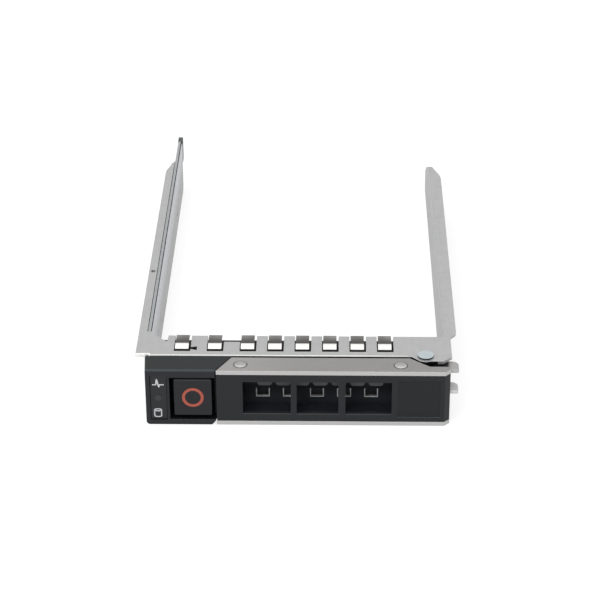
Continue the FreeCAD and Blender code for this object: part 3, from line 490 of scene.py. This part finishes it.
def moulded_black(name, dark, light, roughness=0.5, edge=WEAR_AND_HIGHLIGHT_EDGE, details=None):
    """Black moulded plastic: a fine spark texture, and edges a little lighter, partly wear and
    partly a painted highlight. The details of one moulding are laid on before its edges are
    lightened."""
    black = Finish(name, specular_ior_level=0.28)
    spark = black.noise(9.0, 3, 0.6)
    broad = black.noise(0.25, 3)
    wear_and_highlight_edges = black.edges(0.2)
    black.mottle(spark * 0.6 + broad * 0.4, dark, light)
    if details:
        details(black)
    # edges lighter: partly wear, partly painted highlight
    black.over(wear_and_highlight_edges * 0.5, edge)
    black.bump(spark, 0.02, 0.22)
    return black.finished(roughness=roughness + (spark - 0.5) * 0.2 - wear_and_highlight_edges * 0.12)


def highlight_the_rim(black, rim, edge):
    """A painted highlight along the front edge of a moulding, at the height of its rim."""
    rim_highlight = black.z.rising(rim - 0.12, rim) * (black.y < CADDY_FRONT + 0.6)
    black.over(rim_highlight * 0.42, edge)


def bezel_details(black):
    """Painted shade on the top, and a painted highlight along the front edge."""
    # painted shade on the top of the bezel
    black.over(black.up.rising(0.7, 0.95) * 0.85, paint(13, 18, 19))
    highlight_the_rim(black, PLATE_TOP - 0.25, BEZEL_EDGE)


def button_details(black):
    """A painted highlight along the upper edge."""
    button_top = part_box("release_button")[1].z / MM
    highlight_the_rim(black, button_top - 0.15, WEAR_AND_HIGHLIGHT_EDGE)


def grille_details(black):
    """Painted light on the ribs, painted shade on the floor with a painted highlight along its
    front, and a dark panel for a label.
    """
    floor_top, panel_x, panel_reach = 4, 29.1, 5.1
    # painted light on the front faces of the ribs, a little uneven
    lit_ribs = (black.back < -0.5) * black.y.near(RIB_FACE, 0.2)
    black.over(lit_ribs * (0.6 + black.noise(0.25, 3) * 0.4), paint(88, 89, 90))
    # painted shade on the floor of the windows
    floor = (black.up > 0.5) * (black.z < floor_top)
    black.over(floor * 0.9, paint(40, 43, 49))
    # painted highlight along the floor's front edge
    black.over(floor * (black.y < CADDY_FRONT + 0.4), paint(84, 86, 88))
    panel = black.x.near(panel_x, panel_reach) * black.y.near(CADDY_FRONT + 0.2, 0.1)
    black.over(panel * 0.6, paint(16, 18, 21))


def smoked_lens():
    """Smoked window: smooth and deep, with faint dust, moulding flow and a dark border."""
    lens = Finish("smoked_lens", coat_weight=0.04, coat_roughness=0.1,
                  specular_ior_level=0.35)
    flow = lens.noise(0.9, 3, stretch=(1.0, 1.0, 0.3))
    dust = lens.noise(12.0, 2).rising(0.62, 0.75)
    lens.mottle(flow, paint(21, 22, 25), paint(29, 30, 34))
    lens.over(dust * 0.12, paint(120, 122, 126))
    lens.over(lens.edges(0.2) * 0.8, paint(12, 13, 15))
    lens.bump(flow, 0.01, 0.12)
    return lens.finished(roughness=0.24 + dust * 0.3)


def light_guide():
    """Clear moulded bar, a little milky, with flow lines along the rail."""
    guide = Finish("light_guide", transmission_weight=0.15, ior=1.49)
    flow = guide.noise(2.0, 4, stretch=(1.0, 0.1, 1.0))
    guide.mottle(flow, paint(164, 168, 169), paint(190, 193, 194))
    guide.bump(flow, 0.015, 0.1)
    return guide.finished(roughness=0.18 + flow * 0.2)


def printing_ink(name, dark, light):
    """Screen-printed ink, slightly uneven."""
    ink = Finish(name, specular_ior_level=0.35)
    grain = ink.noise(14.0, 3)
    ink.mottle(grain, dark, light)
    ink.bump(grain, 0.006)
    return ink.finished(roughness=0.5 + grain * 0.2)


# ---------------------------------------------------------------- pieces: the bench

FACING_FRONT = (math.pi / 2, 0, 0)


def put_down():
    """Leave edit mode and let go of everything."""
    if bpy.context.mode != "OBJECT":
        bpy.ops.object.mode_set(mode="OBJECT")
    bpy.ops.object.select_all(action="DESELECT")


def pick_up(piece):
    """Let go of everything but this piece."""
    put_down()
    piece.select_set(True)
    bpy.context.view_layer.objects.active = piece


def start_on(name):
    """Name the new primitive, and start to shape it with all of it picked."""
    piece = bpy.context.object
    piece.name = name
    bpy.ops.object.mode_set(mode="EDIT")
    bpy.ops.mesh.select_all(action="SELECT")
    return piece


def pick_faces(piece, wanted):
    """In edit mode, pick the faces that face a wanted way."""
    mesh = bmesh.from_edit_mesh(piece.data)
    for face in mesh.faces:
        face.select_set(bool(wanted(face.normal)))
    mesh.select_flush_mode()
    bmesh.update_edit_mesh(piece.data)


def pick_corners(piece, wanted):
    """In edit mode, pick the corners at a wanted height."""
    mesh = bmesh.from_edit_mesh(piece.data)
    for corner in mesh.verts:
        corner.select_set(bool(wanted((piece.matrix_world @ corner.co).z)))
    mesh.select_flush_mode()
    bmesh.update_edit_mesh(piece.data)


def face_outwards():
    """In edit mode, turn every face outwards."""
    bpy.ops.mesh.select_all(action="SELECT")
    bpy.ops.mesh.normals_make_consistent(inside=False)


def set_in_place(piece):
    """Keep the piece where it is, and move its own origin to the caddy's."""
    pick_up(piece)
    bpy.ops.object.transform_apply(location=True, rotation=True, scale=True)


def hand_over(piece, body, finish):
    """Give a made piece its finish, and let it ride on its body."""
    set_in_place(piece)
    piece.data.materials.clear()
    piece.data.materials.append(finish)
    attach(piece, body)
    return piece


def bead(line, thickness, flat):
    """Turn a drawn line into a thin bead, pressed flat towards the face it lies on."""
    bpy.ops.object.mode_set(mode="OBJECT")
    bpy.ops.object.convert(target="CURVE")
    line.data.bevel_depth = thickness / 2
    line.data.bevel_resolution = 1
    line.data.use_fill_caps = True
    bpy.ops.object.convert(target="MESH")
    line.data.name = line.name
    bpy.ops.object.mode_set(mode="EDIT")
    bpy.ops.mesh.select_all(action="SELECT")
    bpy.ops.mesh.remove_doubles(threshold=0.002 * MM)
    bpy.ops.transform.resize(value=(1, flat, 1), center_override=line.location)
    bpy.ops.mesh.normals_make_consistent(inside=False)
    set_in_place(line)
    return line


def drawn_line(name, start, steps, thickness, flat):
    """A bead along a line: a point drawn out step by step from its start. A step is so
    many millimetres across and up."""
    put_down()
    bpy.ops.mesh.primitive_plane_add(size=thickness, location=start, rotation=FACING_FRONT)
    line = start_on(name)
    bpy.ops.mesh.merge(type="CENTER")
    for across, up in steps:
        bpy.ops.mesh.extrude_region_move(
            TRANSFORM_OT_translate={"value": (across * MM, 0, up * MM)})
    return bead(line, thickness, flat)


def copy_of(piece, name, shift):
    """A copy of a finished piece with a mesh of its own, moved by the shift."""
    pick_up(piece)
    bpy.ops.object.duplicate(linked=False)
    copy = bpy.context.object
    copy.name = name
    bpy.ops.transform.translate(value=shift)
    set_in_place(copy)
    return copy


# ---------------------------------------------------------------- pieces: the button

def button_coil(finish):
    """The spring behind the release button."""
    low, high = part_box("button_spring")
    middle = (low + high) / 2
    length = high.y - low.y
    wire, turns, travel = 0.45 * MM, 5, 1.5 * MM
    sides, steps_a_turn = 10, 24
    put_down()
    bpy.ops.mesh.primitive_circle_add(vertices=sides, radius=wire / 2,
                                      location=(middle.x, low.y + wire / 2, middle.z))
    coil = start_on("button_coil")
    bpy.ops.transform.translate(value=((high.x - low.x - wire) / 2, 0, 0))
    bpy.ops.object.mode_set(mode="OBJECT")
    winding = coil.modifiers.new("winding", "SCREW")
    winding.axis = "Y"
    winding.iterations = turns
    winding.screw_offset = (length - wire) / turns
    winding.steps = winding.render_steps = steps_a_turn
    bpy.ops.object.modifier_apply(modifier="winding")
    bpy.ops.object.mode_set(mode="EDIT")
    bpy.ops.mesh.select_all(action="DESELECT")
    bpy.ops.mesh.select_non_manifold()
    bpy.ops.mesh.fill_holes(sides=0)
    face_outwards()
    hand_over(coil, "carrier", finish)
    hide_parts("button_spring")
    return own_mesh(coil)


def button_ring(ink):
    """Ring printed on the face of the release button."""
    low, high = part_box("release_button")
    middle = (low + high) / 2
    outer, stroke, thickness = 2.56 * MM, 0.69 * MM, 0.05 * MM
    put_down()
    bpy.ops.mesh.primitive_circle_add(vertices=96, radius=outer, fill_type="NGON",
                                      location=(middle.x, low.y, middle.z),
                                      rotation=FACING_FRONT)
    ring = start_on("button_ring")
    bpy.ops.mesh.inset(thickness=stroke)
    bpy.ops.mesh.delete(type="FACE")
    bpy.ops.mesh.select_all(action="SELECT")
    bpy.ops.mesh.extrude_region_move(TRANSFORM_OT_translate={"value": (0, -thickness, 0)})
    face_outwards()
    return hand_over(ring, "button", ink)


# ---------------------------------------------------------------- pieces: the window

def window_spot(across, height, proud=0.0):
    """A place on the window: so many millimetres across from its middle, up from its foot
    and out from its face."""
    low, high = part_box("indicator_window")
    return Vector(((low.x + high.x) / 2 + across * MM, low.y - proud * MM,
                   low.z + height * MM))


def status_lamp(lens):
    """Small round status lamp, a shallow dish in the middle of the window."""
    radius, depth = 0.75 * MM, 0.12 * MM
    rim, rim_drop = 0.1 * MM, 0.03 * MM
    dish, dish_rise = 0.35 * MM, 0.02 * MM
    put_down()
    bpy.ops.mesh.primitive_cylinder_add(vertices=48, radius=radius, depth=depth,
                                        location=window_spot(across=-0.12, height=5.79),
                                        rotation=FACING_FRONT)
    lamp = start_on("status_lamp")
    pick_faces(lamp, lambda facing: facing.z > 0.9)
    bpy.ops.mesh.inset(thickness=rim)
    bpy.ops.transform.translate(value=(0, rim_drop, 0))
    bpy.ops.mesh.inset(thickness=dish)
    bpy.ops.transform.translate(value=(0, -dish_rise, 0))
    return hand_over(lamp, "carrier", lens)


def pulse_mark(ink):
    """Heartbeat line printed on the window, for the health lamp. Short steps keep the
    bead's thickness round its sharp corners."""
    steps = [(0.85, 0), (0.04, 0.25), (0.12, 1.0), (0.04, 0.25), (0.08, -0.25),
             (0.34, -1.65), (0.08, -0.25), (0.06, 0.2), (0.07, 0.25), (0.06, 0.2),
             (0.99, 0)]
    start = window_spot(across=-1.44, height=9.43, proud=0.01)
    mark = drawn_line("pulse_mark", start, steps, thickness=0.34 * MM, flat=0.25)
    return hand_over(mark, "carrier", ink)


def drive_mark(ink):
    """Outline of a small drum printed on the window, for the drive lamp."""
    radius, tall, lid_squeeze, near = 0.82 * MM, 1.58 * MM, 0.35, 0.02 * MM
    foot = window_spot(across=-0.27, height=0.92, proud=0.01)
    put_down()
    bpy.ops.mesh.primitive_circle_add(vertices=28, radius=radius, location=foot,
                                      rotation=FACING_FRONT)
    drum = start_on("drive_mark")
    bpy.ops.transform.resize(value=(1, 1, lid_squeeze), center_override=foot)
    bpy.ops.mesh.duplicate_move(TRANSFORM_OT_translate={"value": (0, 0, tall)})
    # the foot keeps its lower half, and a side is drawn up from each end of it
    pick_corners(drum, lambda height: foot.z + near < height < foot.z + tall / 2)
    bpy.ops.mesh.delete(type="VERT")
    pick_corners(drum, lambda height: abs(height - foot.z) < near)
    bpy.ops.mesh.extrude_region_move(TRANSFORM_OT_translate={"value": (0, 0, tall)})
    bead(drum, thickness=0.28 * MM, flat=0.25)
    return hand_over(drum, "carrier", ink)


# ---------------------------------------------------------------- pieces: the vent wall

def vent_lips(steel):
    """Turned lips at the foot of the vent openings, behind the grille, in a painted highlight
    finish.
    """
    width, height, top, proud = 3.1, 2.25, 5.3, 0.05
    start = Vector((VENT_FIRST_X - width / 2, VENT_FACE - proud, top)) * MM
    steps = [(0, -height), (width, 0), (0, height)]
    first = drawn_line("vent_lip_1", start, steps, thickness=0.31 * MM, flat=0.6)
    lips = [first] + [copy_of(first, f"vent_lip_{i + 1}", (i * VENT_PITCH * MM, 0, 0))
                      for i in range(1, VENTS)]
    for lip in lips:
        hand_over(lip, "carrier", steel)


# ---------------------------------------------------------------- the set

def pale_surroundings():
    """A white room, which lights the caddy at half the strength at which it is seen."""
    world = bpy.data.worlds.new("pale_room")
    bpy.context.scene.world = world
    nodes = Nodes(world)
    lighting, seen = (
        nodes.node("ShaderNodeBackground", sockets={"Color": WHITE, "Strength": strength})
        for strength in (0.5, 1.0))
    nodes.show_apart("ShaderNodeOutputWorld", lighting, seen)


def pale_floor():
    """A sheet of paper that looks white, with the caddy's shadow on it."""
    put_down()
    bpy.ops.mesh.primitive_plane_add(size=6.0, location=(0, 0, -0.1 * MM))
    floor = bpy.context.object
    floor.name = "floor"
    material = bpy.data.materials.new("pale_floor")
    nodes = Nodes(material)
    lighting, paper = (
        nodes.node("ShaderNodeBsdfDiffuse", sockets={"Color": (shade, shade, shade, 1)})
        for shade in (0.62, 0.4))
    glow = nodes.node("ShaderNodeEmission", sockets={"Color": WHITE, "Strength": 0.74})
    seen = nodes.node("ShaderNodeAddShader", sockets={0: paper, 1: glow})
    nodes.show_apart("ShaderNodeOutputMaterial", lighting, seen)
    floor.data.materials.append(material)


def soft_lamp(name, place, size, power):
    """A square soft box that points at the middle of the caddy."""
    lamp = bpy.data.lights.new(name, "AREA")
    lamp.shape = "SQUARE"
    lamp.size = size
    lamp.energy = power
    holder = bpy.data.objects.new(name, lamp)
    bpy.context.scene.collection.objects.link(holder)
    aim = (-Vector(place)).to_track_quat("-Z", "Y")
    holder.matrix_world = Matrix.Translation(place) @ aim.to_matrix().to_4x4()


def camera():
    """A long lens, low in front of the caddy and a little to the right."""
    pitch, yaw, roll = math.radians(28.771), math.radians(1.02), math.radians(0.184)
    place = Vector((0.008557, -0.491684, 0.267409))
    lens = bpy.data.cameras.new("camera")
    lens.sensor_width = 36.0
    lens.lens = 126.4935
    lens.clip_start, lens.clip_end = 0.01, 20.0
    view = bpy.data.objects.new("camera", lens)
    bpy.context.scene.collection.objects.link(view)
    turned = Matrix.Rotation(yaw, 3, "Z")
    ahead = turned @ Vector((0, math.cos(pitch), -math.sin(pitch)))
    right = turned @ Vector((1, 0, 0))
    down = ahead.cross(right)
    across = math.cos(roll) * right + math.sin(roll) * down
    under = -math.sin(roll) * right + math.cos(roll) * down
    turn = Matrix((across, -under, -ahead)).transposed()
    view.matrix_world = Matrix.Translation(place) @ turn.to_4x4()
    bpy.context.scene.camera = view


# ---------------------------------------------------------------- putting it together

def dress(finish, *nodes):
    """Give CAD nodes a finish, on their objects' own material slots."""
    for node in nodes:
        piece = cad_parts[node]
        if not piece.material_slots:
            piece.data.materials.append(finish)
        for slot in piece.material_slots:
            slot.link = "OBJECT"
            slot.material = finish


def dress_the_metal():
    pin_low, pin_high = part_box("pivot_pin")
    pivot = (pin_low + pin_high) / 2 / MM
    dress(zinc_coated_sheet(), "carrier_frame")
    dress(spring_finger_steel(), "emi_spring_strip")
    dress(cover_strip(), "light_pipe_cover")
    dress(satin_handle_steel(), "handle_top_plate", "handle_bottom_plate")
    dress(stud_steel(), "handle_studs")
    dress(plated("pivot_plating", paint(176, 188, 192), paint(204, 213, 216),
                 centre=(pivot.x, pivot.y), pitch=0.3, side=0.95),
          "pivot_pin", "pivot_spacer", "bezel_screws")
    dress(cam_plating(), "cam_bracket")


def dress_the_mouldings():
    dress(moulded_black("bezel_plastic", paint(26, 28, 31), paint(38, 40, 44),
                        edge=BEZEL_EDGE, details=bezel_details),
          "bezel_housing")
    dress(moulded_black("button_plastic", paint(27, 27, 30), paint(38, 39, 42),
                        roughness=0.55, details=button_details),
          "release_button")
    dress(moulded_black("grille_plastic", paint(24, 25, 28), paint(36, 38, 41),
                        details=grille_details),
          "handle_grille")
    dress(moulded_black("duct_plastic", paint(20, 20, 22), paint(30, 30, 32),
                        roughness=0.6),
          "vent_duct")
    dress(moulded_black("ferrule_plastic", paint(68, 69, 71), paint(94, 95, 98)),
          "light_pipe_ferrule")
    dress(moulded_black("pawl_plastic", paint(26, 26, 27), paint(38, 38, 40),
                        roughness=0.38),
          "latch_pawl")
    dress(smoked_lens(), "indicator_window")
    dress(light_guide(), "light_pipe_upper", "light_pipe_lower")


def add_the_pieces():
    wire = spring_wire()
    dress(wire, "button_spring", "pivot_spring")
    button_coil(wire)
    button_ring(printing_ink("ring_ink", paint(174, 85, 68), paint(198, 103, 86)))
    white_ink = printing_ink("mark_ink", paint(206, 208, 212), paint(230, 232, 236))
    pulse_mark(white_ink)
    drive_mark(white_ink)
    status_lamp(moulded_black("lamp_lens", paint(56, 56, 60), paint(68, 68, 72),
                              roughness=0.3))
    # painted highlight: the lips' finish is near white and hardly metallic, so they read bright
    # in the shade behind the grille
    vent_lips(plated("lip_painted_highlight", paint(244, 245, 245), paint(252, 252, 252),
                     centre=(0, 0), pitch=0.5, metal=0.1))


def set_the_scene():
    pale_surroundings()
    pale_floor()
    soft_lamp("overhead_softbox", (-0.12, -0.2, 0.85), size=0.8, power=3.4)
    soft_lamp("front_softbox", (-0.35, -0.8, 0.45), size=0.6, power=2.2)
    camera()
    bpy.context.scene.view_settings.view_transform = "Standard"


dress_the_metal()
dress_the_mouldings()
add_the_pieces()
set_the_scene()
